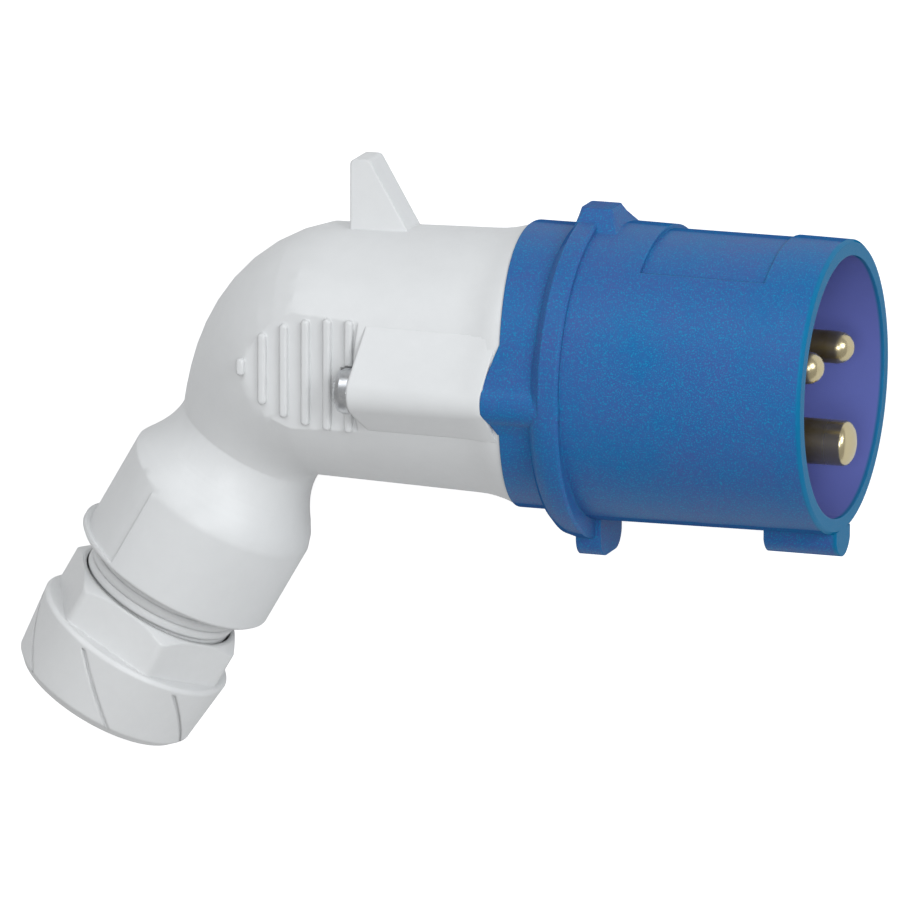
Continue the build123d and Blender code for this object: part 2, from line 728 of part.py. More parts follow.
def make_all():
    """Every node by name, in the plug's own frame."""
    pole = (POLE_PIN_R, POLE_BARREL_R, POLE_TIP_X, POLE_DOME)
    earth = (EARTH_PIN_R, EARTH_BARREL_R, EARTH_TIP_X, EARTH_DOME)
    return {
        "front_shroud": front_shroud(),
        "elbow_housing": elbow_housing(),
        "contact_carrier": contact_carrier(),
        "retainer_plate": retainer_plate(),
        "retainer_screw_near": retainer_screw(-1),
        "retainer_screw_far": retainer_screw(1),
        "line_pin": contact_pin(LINE_TURN, *pole),
        "neutral_pin": contact_pin(NEUTRAL_TURN, *pole),
        "earth_pin": contact_pin(EARTH_TURN, *earth),
        "terminal_screw_line": terminal_screw(LINE_TURN, POLE_BARREL_R),
        "terminal_screw_neutral": terminal_screw(NEUTRAL_TURN, POLE_BARREL_R),
        "terminal_screw_earth": terminal_screw(EARTH_TURN, EARTH_BARREL_R),
        "housing_gasket": housing_gasket(),
        "body_screw_near": body_screw(-1),
        "body_screw_far": body_screw(1),
        "screw_insert_near": screw_insert(-1),
        "screw_insert_far": screw_insert(1),
        "gland_nut": gland_nut(),
        "gland_pressure_ring": gland_pressure_ring(),
        "friction_washer": friction_washer(),
        "gland_seal": gland_seal(),
    }


def as_one(shape):
    """The single solid of a node."""
    solids = shape.solids()
    return solids[0] if len(solids) == 1 else Compound(children=list(solids))


def rest_turn():
    """The turn that lays the upright plug down on its hidden side."""
    lay = Rot(-90, 0, 0)
    settle = Rot(REST_ROLL_DEG, REST_PITCH_DEG, 0)
    return settle * lay


nodes = make_all()
turn_down = rest_turn()
laid = {name: turn_down * as_one(shape) for name, shape in nodes.items()}
boxes = [shape.bounding_box() for shape in laid.values()]
low = [min(getattr(b.min, a) for b in boxes) for a in "XYZ"]
high = [max(getattr(b.max, a) for b in boxes) for a in "XYZ"]
shift = Pos(-(low[0] + high[0]) / 2, -(low[1] + high[1]) / 2, -low[2])
placement = shift * turn_down

os.makedirs("parts", exist_ok=True)
for name, shape in laid.items():
    placed = shift * shape
    export_step(placed, "parts/" + name + ".step")
    count = len(placed.solids())
    print(name, "solids", count, "volume", round(placed.volume, 1))
print("size", [round(high[i] - low[i], 2) for i in range(3)])
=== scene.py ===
# %% [markdown]
# An angled industrial plug, dressed for its picture.
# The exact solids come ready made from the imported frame, so this lesson only adds what a solid
# cannot carry: the light, the camera, the finishes, and the fine winding thread of the gland.
# Each step says what the thing is on the real plug, how it could be made, and why this way won.

import json
import math

import bmesh
import bpy
from mathutils import Matrix, Vector


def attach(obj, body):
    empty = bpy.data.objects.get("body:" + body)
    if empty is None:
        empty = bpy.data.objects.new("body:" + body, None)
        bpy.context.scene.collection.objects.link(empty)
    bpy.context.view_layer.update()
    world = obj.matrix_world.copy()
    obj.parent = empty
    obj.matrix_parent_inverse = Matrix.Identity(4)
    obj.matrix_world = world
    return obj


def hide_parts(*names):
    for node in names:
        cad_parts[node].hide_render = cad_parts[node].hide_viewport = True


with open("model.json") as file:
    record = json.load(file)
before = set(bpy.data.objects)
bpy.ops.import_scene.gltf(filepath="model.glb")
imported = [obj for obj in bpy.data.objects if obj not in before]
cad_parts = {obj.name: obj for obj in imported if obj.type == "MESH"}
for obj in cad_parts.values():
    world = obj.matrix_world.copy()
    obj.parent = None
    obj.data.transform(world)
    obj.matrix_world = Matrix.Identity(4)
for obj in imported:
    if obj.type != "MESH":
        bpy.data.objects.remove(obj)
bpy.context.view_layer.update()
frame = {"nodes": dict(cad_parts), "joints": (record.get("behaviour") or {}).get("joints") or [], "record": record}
nodes = frame["nodes"]
print("CAD nodes:", len(nodes))

# %% [markdown]
# The camera. The plug lies on its side, so a camera that looks down at it sees what the
# photograph shows. A long lens from far away keeps the outlines nearly parallel. The lens could
# be guessed and pushed about until it looks right; it is set from a fit to known sizes instead.

# %% Camera
CAMERA_PLACE = Vector((0.775818, 0.238127, 2.491750))
CAMERA_AIM = Vector((0.002026, 0.002146, 0.021860))
CAMERA_TOP = Vector((-0.070509, 0.994839, -0.072961))
LENS_MM, SENSOR_MM = 676.72, 36.0
CLIP_NEAR, CLIP_FAR = 0.1, 20.0


def make_camera():
    data = bpy.data.cameras.new("camera")
    data.lens, data.sensor_width = LENS_MM, SENSOR_MM
    data.clip_start, data.clip_end = CLIP_NEAR, CLIP_FAR
    camera = bpy.data.objects.new("camera", data)
    bpy.context.collection.objects.link(camera)
    back = (CAMERA_PLACE - CAMERA_AIM).normalized()
    right = CAMERA_TOP.cross(back).normalized()
    turn = Matrix((right, back.cross(right), back)).transposed()
    camera.matrix_world = Matrix.Translation(CAMERA_PLACE) @ turn.to_4x4()
    bpy.context.scene.camera = camera
    return camera


camera = make_camera()
reach = camera.matrix_world.translation - CAMERA_AIM
print("camera distance in metres:", round(reach.length, 3))

# %% [markdown]
# Small helpers for node trees. A material is a graph, and wiring it line by line hides what it
# does. One helper adds a node with its values and another joins two sockets. The others do sums,
# stretch a range, mix colours, make noise, and start or place a reusable group.

# %% Node helpers


def add(tree, kind, **values):
    node = tree.nodes.new(kind)
    for key, value in values.items():
        if hasattr(node, key):
            setattr(node, key, value)
        else:
            node.inputs[key.replace("_", " ")].default_value = value
    return node


def join(tree, start, end):
    tree.links.new(start, end)


def maths(tree, operation, first, second=None, clamp=False):
    node = tree.nodes.new("ShaderNodeMath")
    node.operation, node.use_clamp = operation, clamp
    for slot, value in zip(node.inputs, (first, second)):
        if value is None:
            continue
        if isinstance(value, (int, float)):
            slot.default_value = value
        else:
            tree.links.new(value, slot)
    return node.outputs[0]


def remap(tree, value, low, high, out_low=0.0, out_high=1.0):
    node = tree.nodes.new("ShaderNodeMapRange")
    tree.links.new(value, node.inputs["Value"])
    node.inputs["From Min"].default_value = low
    node.inputs["From Max"].default_value = high
    node.inputs["To Min"].default_value = out_low
    node.inputs["To Max"].default_value = out_high
    return node.outputs["Result"]


def blend_colour(tree, factor, first, second, mode="MIX"):
    node = tree.nodes.new("ShaderNodeMix")
    node.data_type, node.blend_type = "RGBA", mode
    if isinstance(factor, (int, float)):
        node.inputs["Factor"].default_value = factor
    else:
        tree.links.new(factor, node.inputs["Factor"])
    for name, value in (("A", first), ("B", second)):
        slot = [s for s in node.inputs if s.name == name and s.type == "RGBA"][0]
        if isinstance(value, tuple):
            slot.default_value = (*value, 1.0)
        else:
            tree.links.new(value, slot)
    return [s for s in node.outputs if s.type == "RGBA"][0]


def new_group(name, inputs, outputs):
    tree = bpy.data.node_groups.new(name, "ShaderNodeTree")
    for label, value in inputs.items():
        socket = tree.interface.new_socket(label, in_out="INPUT", socket_type="NodeSocketFloat")
        socket.default_value = value
    for label in outputs:
        tree.interface.new_socket(label, in_out="OUTPUT", socket_type="NodeSocketFloat")
    return tree, tree.nodes.new("NodeGroupInput"), tree.nodes.new("NodeGroupOutput")


def use_group(tree, group, **values):
    node = tree.nodes.new("ShaderNodeGroup")
    node.node_tree = group
    for key, value in values.items():
        node.inputs[key.replace("_", " ")].default_value = value
    return node


def noise(tree, place, scale, detail, rough):
    node = add(tree, "ShaderNodeTexNoise", Detail=detail, Roughness=rough)
    if isinstance(scale, (int, float)):
        node.inputs["Scale"].default_value = scale
    else:
        tree.links.new(scale, node.inputs["Scale"])
    tree.links.new(place, node.inputs["Vector"])
    return node.outputs["Fac"]


helpers = (add, join, maths, remap, blend_colour, new_group, use_group, noise)
print("node helpers:", len(helpers))


# %% [markdown]
# Group one, cloudiness. Moulded plastic is never one flat colour: pigment and flow leave slow,
# faint clouds a few millimetres to a few centimetres wide. Two noises of different size are
# enough, and one group serves every plastic with its own size.

# %% Group: clouds


def build_clouds():
    sizes = {"Size": 60.0, "Fine": 400.0}
    tree, start, end = new_group("plastic_clouds", sizes, ["Cloud", "Speck"])
    place = add(tree, "ShaderNodeTexCoord").outputs["Object"]
    cloud = noise(tree, place, start.outputs["Size"], detail=3.0, rough=0.55)
    speck = noise(tree, place, start.outputs["Fine"], detail=4.0, rough=0.65)
    join(tree, remap(tree, cloud, low=0.3, high=0.7), end.inputs["Cloud"])
    join(tree, remap(tree, speck, low=0.35, high=0.65), end.inputs["Speck"])
    return tree


clouds = build_clouds()
print("group:", clouds.name)

# %% [markdown]
# Group two, spark-eroded grain and painted glints. The mould of the blue half was eroded by
# sparks, which leaves tiny pits and bumps that glitter in the light. Displacing real geometry that
# fine would need millions of faces, so a height for a bump node gives the bumps, and a mask of
# bright specks paints the glitter into the colour as painted highlights.

# %% Group: spark grain and painted glints
FINE_SHARE = 0.45
PIT_EDGE, PIT_HEIGHT, FINE_HEIGHT = 0.9, 0.45, 0.9
# where the fine noise passes these values, bright specks are painted in as painted glints
PAINTED_GLINT_FROM, PAINTED_GLINT_FULL = 0.52, 0.66


def build_grain_and_glint():
    tree, start, end = new_group("spark_grain_and_glint", {"Size": 2200.0}, ["Height", "PaintedGlint"])
    place = add(tree, "ShaderNodeTexCoord").outputs["Object"]
    cells = add(tree, "ShaderNodeTexVoronoi", feature="F1")
    join(tree, place, cells.inputs["Vector"])
    join(tree, start.outputs["Size"], cells.inputs["Scale"])
    pits = remap(tree, cells.outputs["Distance"], low=0.0, high=PIT_EDGE)
    fine_size = maths(tree, "MULTIPLY", start.outputs["Size"], FINE_SHARE)
    fine = noise(tree, place, fine_size, detail=2.0, rough=0.6)
    deep = maths(tree, "MULTIPLY", pits, PIT_HEIGHT)
    height = maths(tree, "ADD", deep, maths(tree, "MULTIPLY", fine, FINE_HEIGHT))
    join(tree, height, end.inputs["Height"])
    join(tree, remap(tree, fine, low=PAINTED_GLINT_FROM, high=PAINTED_GLINT_FULL), end.inputs["PaintedGlint"])
    return tree


grain_and_glint = build_grain_and_glint()
print("group:", grain_and_glint.name)

# %% [markdown]
# Group three, worn edges. Handling polishes and lightens every outer edge first. A painted mask
# would have to follow each edge by hand. The bevel node rounds the normal near an edge, and
# where that differs from the true normal there is an edge, so the mask finds itself.

# %% Group: worn edges
BEVEL_SAMPLES = 6
WEAR_WIDTH, WEAR_GAIN = 0.0007, 3.0


def build_edges():
    tree, start, end = new_group("worn_edges", {"Breakup": 350.0, "Gain": 2.0}, ["Wear"])
    soft = add(tree, "ShaderNodeBevel", samples=BEVEL_SAMPLES)
    soft.inputs["Radius"].default_value = WEAR_WIDTH
    true = add(tree, "ShaderNodeNewGeometry").outputs["Normal"]
    dot = add(tree, "ShaderNodeVectorMath", operation="DOT_PRODUCT")
    join(tree, soft.outputs["Normal"], dot.inputs[0])
    join(tree, true, dot.inputs[1])
    turned = maths(tree, "SUBTRACT", 1.0, dot.outputs["Value"])
    line = maths(tree, "MULTIPLY", turned, WEAR_GAIN, True)
    place = add(tree, "ShaderNodeTexCoord").outputs["Object"]
    uneven = noise(tree, place, start.outputs["Breakup"], detail=3.0, rough=0.6)
    patchy = remap(tree, uneven, low=0.42, high=0.62)
    broken = maths(tree, "MULTIPLY", line, patchy)
    worn = maths(tree, "MULTIPLY", broken, start.outputs["Gain"], True)
    join(tree, worn, end.inputs["Wear"])
    return tree


edges = build_edges()
print("group:", edges.name)

# %% [markdown]
# Group four, turning marks. Pins, sleeves and screw heads come off a lathe, and fine rings stay
# round their axis. Those that show lie along the plug, nearly along X, so a sine of X broken up
# by a noise looks the same at this scale and needs no measuring of each piece.

# %% Group: turning marks
MARK_BREAKUP = 900.0


def build_turning():
    sizes = {"Pitch": 9000.0, "Tarnish": 500.0}
    tree, start, end = new_group("turning_marks", sizes, ["Rings", "Patches"])
    place = add(tree, "ShaderNodeTexCoord").outputs["Object"]
    parts = tree.nodes.new("ShaderNodeSeparateXYZ")
    join(tree, place, parts.inputs["Vector"])
    along = maths(tree, "MULTIPLY", parts.outputs["X"], start.outputs["Pitch"])
    waves = maths(tree, "SINE", along)
    uneven = noise(tree, place, MARK_BREAKUP, detail=3.0, rough=0.6)
    rings = maths(tree, "MULTIPLY", maths(tree, "ADD", waves, 1.0), uneven)
    join(tree, maths(tree, "MULTIPLY", rings, 0.5), end.inputs["Rings"])
    stain = noise(tree, place, start.outputs["Tarnish"], detail=4.0, rough=0.62)
    join(tree, remap(tree, stain, low=0.38, high=0.66), end.inputs["Patches"])
    return tree


turning = build_turning()
print("group:", turning.name)

# %% [markdown]
# Masks that find a place. Inside, the blue shroud is painted a brighter violet, as painted light
# on the inner wall, and its rim is painted a greener blue, as a painted highlight where it catches
# the light. Both could be separate materials on picked faces. Masks that measure from the plug's
# own mouth need no picking, and they fade over a few tenths of a millimetre.

# %% Masks of the mouth: painted light inside and a painted highlight on the rim
socket_mount = next(m for m in frame["record"]["mounts"] if m["name"] == "socket_shroud")
mouth_axis, mouth_place = Vector(socket_mount["axis"]), Vector(socket_mount["pos_m"])
# the inner wall of the shroud, which is painted a brighter violet as painted light
INNER_WALL_R, INNER_WALL_FADE = 0.0202, 0.0003
# band and strength of the painted highlight on the shroud's rim
RIM_HIGHLIGHT_DEPTH, RIM_HIGHLIGHT_SHARE = 0.0008, 0.9


def bore_light_mask(tree):
    """1 on the inner wall of the shroud, found by its distance from the plug axis; painted light goes there."""
    place = add(tree, "ShaderNodeTexCoord").outputs["Object"]
    arm = add(tree, "ShaderNodeVectorMath", operation="SUBTRACT")
    arm.inputs[1].default_value = mouth_place
    across = add(tree, "ShaderNodeVectorMath", operation="CROSS_PRODUCT")
    across.inputs[1].default_value = mouth_axis
    reach = add(tree, "ShaderNodeVectorMath", operation="LENGTH")
    join(tree, place, arm.inputs[0])
    join(tree, arm.outputs["Vector"], across.inputs[0])
    join(tree, across.outputs["Vector"], reach.inputs[0])
    outer = INNER_WALL_R + INNER_WALL_FADE
    return remap(tree, reach.outputs["Value"], low=outer, high=INNER_WALL_R)


def rim_highlight_mask(tree):
    """1 on the last few tenths of a millimetre before the mouth, on its front edge, where a painted highlight
    goes.
    """
    place = add(tree, "ShaderNodeTexCoord").outputs["Object"]
    along = add(tree, "ShaderNodeVectorMath", operation="DOT_PRODUCT")
    along.inputs[1].default_value = mouth_axis
    join(tree, place, along.inputs[0])
    front = mouth_place.dot(mouth_axis)
    first, last = front - RIM_HIGHLIGHT_DEPTH, front - RIM_HIGHLIGHT_DEPTH / 2
    return remap(tree, along.outputs["Value"], low=first, high=last, out_high=RIM_HIGHLIGHT_SHARE)


print("mouth at:", [round(value, 4) for value in mouth_place])

# %% [markdown]
# What every finish starts with. A material needs an output and one surface, and each surface
# here also gets a normal that is rounded at its edges and roughened by a height. Real bevels
# would change the solids' meshes; the bevel node rounds the light alone.

# %% Start of a material


def start_material(name):
    material = bpy.data.materials.new(name)
    material.use_nodes = True
    tree = material.node_tree
    tree.nodes.clear()
    output = tree.nodes.new("ShaderNodeOutputMaterial")
    surface = tree.nodes.new("ShaderNodeBsdfPrincipled")
    join(tree, surface.outputs["BSDF"], output.inputs["Surface"])
    return material, tree, surface


def soft_normal(tree, surface, height, radius, strength, depth):
    rounded = add(tree, "ShaderNodeBevel", samples=BEVEL_SAMPLES)
    rounded.inputs["Radius"].default_value = radius
    bump = tree.nodes.new("ShaderNodeBump")
    bump.inputs["Strength"].default_value = strength
    bump.inputs["Distance"].default_value = depth
    join(tree, height, bump.inputs["Height"])
    join(tree, rounded.outputs["Normal"], bump.inputs["Normal"])
    join(tree, bump.outputs["Normal"], surface.inputs["Normal"])


print("bevel samples:", BEVEL_SAMPLES)

# %% [markdown]
# Moulded plastics. All plastic pieces share one recipe: a base colour that clouds a little, edges
# that are a touch lighter, a roughness that grain breaks up, and a normal that is rounded at the
# edges, because no moulded edge is knife sharp. Only the numbers differ from piece to piece.

# %% Plastic recipe
CLOUD_SHARE, SPECK_SHARE, FINE_TIMES = 0.7, 0.3, 9
WEAR_SHARE = 0.5
GRAIN_LOW, GRAIN_HIGH = 0.2, 0.9
ROUGH_DOWN, ROUGH_UP, BUMP_STRENGTH = 0.07, 0.08, 0.5


def plastic(
    name, dark, light, edge, rough, size, grain_size, depth, round_r,
    painted_glint=None, inside=None, rim_highlight=None,
):
    material, tree, surface = start_material(name)
    cloud = use_group(tree, clouds, Size=size, Fine=size * FINE_TIMES)
    spark_and_glint = use_group(tree, grain_and_glint, Size=grain_size)
    worn = use_group(tree, edges)
    mixed = maths(tree, "MULTIPLY", cloud.outputs["Cloud"], CLOUD_SHARE)
    specks = maths(tree, "MULTIPLY", cloud.outputs["Speck"], SPECK_SHARE)
    mixed = maths(tree, "ADD", mixed, specks)
    colour = blend_colour(tree, mixed, dark, light)
    # painted glints: bright specks painted into the colour in place of highlights
    if painted_glint:
        share = maths(tree, "MULTIPLY", spark_and_glint.outputs["PaintedGlint"], painted_glint[1])
        colour = blend_colour(tree, share, colour, painted_glint[0])
    # painted light: the inner wall is painted a brighter violet blue
    if inside:
        colour = blend_colour(tree, bore_light_mask(tree), colour, inside)
    # painted highlight: the rim is painted a greener blue where it catches the light
    if rim_highlight:
        colour = blend_colour(tree, rim_highlight_mask(tree), colour, rim_highlight)
    worn_share = maths(tree, "MULTIPLY", worn.outputs["Wear"], WEAR_SHARE)
    colour = blend_colour(tree, worn_share, colour, edge)
    join(tree, colour, surface.inputs["Base Color"])
    height = spark_and_glint.outputs["Height"]
    least, most = rough - ROUGH_DOWN, rough + ROUGH_UP
    rougher = remap(tree, height, GRAIN_LOW, GRAIN_HIGH, out_low=least, out_high=most)
    join(tree, rougher, surface.inputs["Roughness"])
    soft_normal(tree, surface, height, round_r, BUMP_STRENGTH, depth)
    return material


print("colour from clouds:", CLOUD_SHARE, "and from specks:", SPECK_SHARE)

# %% [markdown]
# The blue shell. Its spark-eroded grain carries painted glints, specks of a greener blue painted
# into its colour as painted highlights. The small bumps shade one another, so the shell has hardly
# any sheen where the view grazes it. The sheen could be turned down everywhere; fading it by the
# facing angle keeps it where the photograph has it.

# %% Blue shell
SHEEN, SHEEN_FADE_FROM, SHEEN_FADE_TO = 0.26, 0.45, 0.80
SHEEN_TINT = (0.10, 0.75, 1.0, 1.0)
# colour and strength of the painted glints, which are painted highlights in the base colour
PAINTED_GLINT_COLOUR, PAINTED_GLINT_SHARE = (0.006, 0.25, 0.46), 0.70


def fade_the_sheen(material):
    """Tints the sheen, and fades it where the view grazes the surface."""
    tree = material.node_tree
    surface = tree.nodes["Principled BSDF"]
    surface.inputs["Specular Tint"].default_value = SHEEN_TINT
    facing = add(tree, "ShaderNodeLayerWeight", Blend=0.5).outputs["Facing"]
    sheen = remap(tree, facing, SHEEN_FADE_FROM, SHEEN_FADE_TO, out_low=SHEEN, out_high=0.0)
    join(tree, sheen, surface.inputs["Specular IOR Level"])


# The inner wall colour here is painted light, and the rim and glint colours are painted highlights.
blue_shell = plastic(
    "blue_shell", (0.052, 0.086, 0.290), (0.014, 0.118, 0.330), (0.010, 0.200, 0.430),
    rough=0.36, size=55.0, grain_size=9600.0, depth=0.000030, round_r=0.00035,
    painted_glint=(PAINTED_GLINT_COLOUR, PAINTED_GLINT_SHARE), inside=(0.140, 0.165, 0.480), rim_highlight=(0.004, 0.150, 0.310),
)
fade_the_sheen(blue_shell)
print("sheen of the blue shell:", SHEEN)

# %% [markdown]
# The other plastics. The two greys differ a little in grain, as two mouldings do. Inside are a
# black insulator, a slippery washer and soft rubber. Each is the same recipe with the numbers
# of its own: dark and light colour, worn edge, roughness, sizes, depth and edge rounding.

# %% Greys, insulator, washer and rubber
grey_shell = plastic(
    "grey_shell", (0.640, 0.648, 0.652), (0.680, 0.688, 0.692), (0.760, 0.765, 0.770),
    rough=0.40, size=40.0, grain_size=1500.0, depth=0.000012, round_r=0.00050,
)
grey_cap = plastic(
    "grey_cap", (0.640, 0.646, 0.648), (0.680, 0.686, 0.688), (0.760, 0.764, 0.766),
    rough=0.38, size=70.0, grain_size=1700.0, depth=0.000010, round_r=0.00060,
)
black_insulator = plastic(
    "black_insulator", (0.016, 0.017, 0.019), (0.030, 0.031, 0.034), (0.070, 0.070, 0.074),
    rough=0.50, size=90.0, grain_size=2000.0, depth=0.000030, round_r=0.00025,
)
slip_washer = plastic(
    "slip_washer", (0.58, 0.57, 0.52), (0.66, 0.65, 0.60), (0.74, 0.73, 0.69),
    rough=0.35, size=120.0, grain_size=1800.0, depth=0.000010, round_r=0.00010,
)
soft_rubber = plastic(
    "soft_rubber", (0.012, 0.012, 0.012), (0.024, 0.024, 0.025), (0.060, 0.060, 0.062),
    rough=0.78, size=150.0, grain_size=2600.0, depth=0.000050, round_r=0.00030,
)
more = (grey_shell, grey_cap, black_insulator, slip_washer, soft_rubber)
print("more plastics:", ", ".join(material.name for material in more))

# %% [markdown]
# Metals. The pins are turned brass. Their shanks have gone brown and their noses are rubbed
# bright by every socket they met. The colour could come from a picture of brass; here a mask
# along the pin's own length mixes tarnish into polish. Screws get bright zinc.

# %% Metal recipes
TARNISH_SHARE, SHANK_TARNISH, WORN_BRIGHT = 0.75, 0.92, 0.5
DULL_ROUGHER, METAL_BREAKUP = 0.16, 900.0
METAL_ROUND_R, MARK_STRENGTH, MARK_DEPTH = 0.00012, 0.25, 0.00001


def metal(name, bright, dull, rough, pitch, tarnish, nose=None, metallic=1.0):
    material, tree, surface = start_material(name)
    marks = use_group(tree, turning, Pitch=pitch, Tarnish=tarnish)
    worn = use_group(tree, edges, Breakup=METAL_BREAKUP)
    patches = marks.outputs["Patches"]
    dulled = maths(tree, "MULTIPLY", patches, TARNISH_SHARE)
    if nose:
        place = add(tree, "ShaderNodeTexCoord").outputs["Object"]
        along = add(tree, "ShaderNodeVectorMath", operation="DOT_PRODUCT")
        along.inputs[1].default_value = mouth_axis
        join(tree, place, along.inputs[0])
        first, last = (mouth_place.dot(mouth_axis) + station for station in nose)
        value = along.outputs["Value"]
        shank = remap(tree, value, first, last, out_low=SHANK_TARNISH, out_high=0.0)
        patchy = remap(tree, patches, 0.0, 1.0, out_low=TARNISH_SHARE)
        dulled = maths(tree, "MULTIPLY", shank, patchy)
    rubbed = maths(tree, "MULTIPLY", worn.outputs["Wear"], WORN_BRIGHT)
    kept = maths(tree, "SUBTRACT", dulled, rubbed, True)
    colour = blend_colour(tree, kept, bright, dull)
    join(tree, colour, surface.inputs["Base Color"])
    surface.inputs["Metallic"].default_value = metallic
    rougher = remap(tree, kept, 0.0, 1.0, out_low=rough, out_high=rough + DULL_ROUGHER)
    join(tree, rougher, surface.inputs["Roughness"])
    rings = marks.outputs["Rings"]
    soft_normal(tree, surface, rings, METAL_ROUND_R, MARK_STRENGTH, MARK_DEPTH)
    return material


NOSE_START, NOSE_END = -0.0050, -0.0020
pin_brass = metal(
    "pin_brass", (0.58, 0.50, 0.31), (0.250, 0.182, 0.070),
    rough=0.26, pitch=9000.0, tarnish=420.0, nose=(NOSE_START, NOSE_END), metallic=0.92,
)
sleeve_brass = metal(
    "sleeve_brass", (0.78, 0.60, 0.30), (0.45, 0.33, 0.17),
    rough=0.28, pitch=8000.0, tarnish=500.0,
)
bright_zinc = metal(
    "bright_zinc", (0.60, 0.61, 0.62), (0.34, 0.35, 0.37),
    rough=0.26, pitch=7000.0, tarnish=600.0,
)
metals = (pin_brass, sleeve_brass, bright_zinc)
print("metals:", ", ".join(material.name for material in metals))

# %% [markdown]
# Giving finishes to the CAD nodes. Each node keeps its exact mesh; only its material slot
# changes. A table of names says at a glance which piece wears which finish.

# %% Dress the nodes
FINISHES = {
    "front_shroud": blue_shell,
    "elbow_housing": grey_shell,
    "gland_nut": grey_cap,
    "gland_pressure_ring": grey_cap,
    "contact_carrier": black_insulator,
    "retainer_plate": black_insulator,
    "housing_gasket": soft_rubber,
    "gland_seal": soft_rubber,
    "friction_washer": slip_washer,
}
for name in ("line_pin", "neutral_pin", "earth_pin"):
    FINISHES[name] = pin_brass
for name in ("screw_insert_near", "screw_insert_far"):
    FINISHES[name] = sleeve_brass
for name in nodes:
    if "screw" in name and "insert" not in name:
        FINISHES[name] = bright_zinc
for name, item in nodes.items():
    item.data.materials.clear()
    item.data.materials.append(FINISHES[name])
print("dressed nodes:", len(nodes))

# %% [markdown]
# Where things are on the plug. The next steps reshape a few small forms, so they need to know how
# far a point lies along the outlet, or along the pins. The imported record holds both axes, in the
# nut's joint and in the mounts, and reading them there keeps every measure tied to the solids.

# %% Axes of outlet and plug
nut_joint = next(j for j in frame["joints"] if j["name"] == "nut_turn")
OUTLET_AXIS = Vector(nut_joint["axis"]).normalized()
OUTLET_MARK = Vector(nut_joint["pos_m"])
MARK_STATION = 0.0550
earth_mount = next(m for m in frame["record"]["mounts"] if m["name"] == "earth_contact")
earth_arm = Vector(earth_mount["pos_m"]) - mouth_place
FIN_WAY = (mouth_axis * earth_arm.dot(mouth_axis) - earth_arm).normalized()
SIDE_WAY = FIN_WAY.cross(mouth_axis)


def station_and_ray(place):
    """How far a point lies along the outlet, and its ray from the outlet's axis."""
    arm = place - OUTLET_MARK
    along = arm.dot(OUTLET_AXIS)
    return along + MARK_STATION, arm - OUTLET_AXIS * along


def in_plug(place):
    """A point in the plug's own frame: along the pins, to the side, and to the fin."""
    arm = place - mouth_place
    return arm.dot(mouth_axis), arm.dot(SIDE_WAY), arm.dot(FIN_WAY)


print("outlet axis:", [round(value, 3) for value in OUTLET_AXIS])

# %% [markdown]
# The hollow round at the neck. On the real moulding the slim neck flows into the shoulder of the
# collar, and the solid has a corner there. A bevel would eat into the collar. Here fine rings
# are cut into the copied mesh, and their points move onto a curve that starts level and ends
# with the shoulder's own slope.

# %% Hollow round at the neck
NECK_R, COLLAR_R = 0.0118, 0.01625
SHOULDER_FOOT, SHOULDER_LENGTH, SHOULDER_POWER = 0.0218, 0.0072, 1.5
NECK_FROM, NECK_TO, COLLAR_TO = 0.01745, 0.0252, 0.0440
NECK_RINGS, NECK_MARGIN, RADIUS_MARGIN, SKIN_MARGIN = 12, 0.004, 0.002, 0.0007
CUT_WITHIN, SLOPE_STEP = 1e-7, 1e-4


def shoulder_radius(station):
    """Radius of the shoulder, as the solid has it."""
    share = max(0.0, (station - SHOULDER_FOOT) / SHOULDER_LENGTH)
    return COLLAR_R - (COLLAR_R - NECK_R) * (1 - share) ** SHOULDER_POWER


def cut_neck_rings(shape):
    """Cuts fine rings into the neck and shoulder."""
    near = []
    for face in shape.faces:
        station, ray = station_and_ray(face.calc_center_median())
        inside = ray.length < COLLAR_R + RADIUS_MARGIN
        if NECK_FROM - NECK_MARGIN < station < COLLAR_TO and inside:
            near.append(face)
    for step in range(NECK_RINGS + 1):
        station = NECK_FROM + (NECK_TO - NECK_FROM) * step / NECK_RINGS
        verts = {v for face in near for v in face.verts}
        lines = {e for face in near for e in face.edges}
        cut = bmesh.ops.bisect_plane(
            shape, geom=list(verts) + list(lines) + near, dist=CUT_WITHIN,
            plane_co=OUTLET_MARK + OUTLET_AXIS * (station - MARK_STATION), plane_no=OUTLET_AXIS,
        )
        near = [item for item in cut["geom"] if isinstance(item, bmesh.types.BMFace)]


def round_the_neck(shape):
    """Moves the rings' points onto a curve that starts level and ends with the shoulder."""
    cut_neck_rings(shape)
    moved = 0
    end_r = shoulder_radius(NECK_TO)
    slope = (shoulder_radius(NECK_TO + SLOPE_STEP) - end_r) / SLOPE_STEP
    length = NECK_TO - NECK_FROM
    for vertex in shape.verts:
        station, ray = station_and_ray(vertex.co)
        off = abs(ray.length - shoulder_radius(station))
        if not NECK_FROM < station < NECK_TO or off > SKIN_MARGIN:
            continue
        share = (station - NECK_FROM) / length
        rise = (3 * share**2 - 2 * share**3) * (end_r - NECK_R)
        rise += (share**3 - share**2) * slope * length
        vertex.co += ray.normalized() * (NECK_R + rise - ray.length)
        moved += 1
    return moved


print("neck curve from", NECK_FROM, "to", NECK_TO)

# %% [markdown]
# The screw cores. In the solid each side screw runs in a round core that stands out of the tube.
# A later step covers it with a smooth swell. If both kept the same radius they would fight
# for the same place in the render, so the copied mesh draws the cores 0.2 mm inward.

# %% Sunk screw cores
BOSS_SIDE, BOSS_RISE, CORE_R, CORE_SUNK_R = 0.0200, -0.0018, 0.0037, 0.0035
BOSS_REAR, BOSS_FRONT, OUTER_HALF = -0.0722, -0.0475, -0.0012
CORE_MARGIN = 0.0001


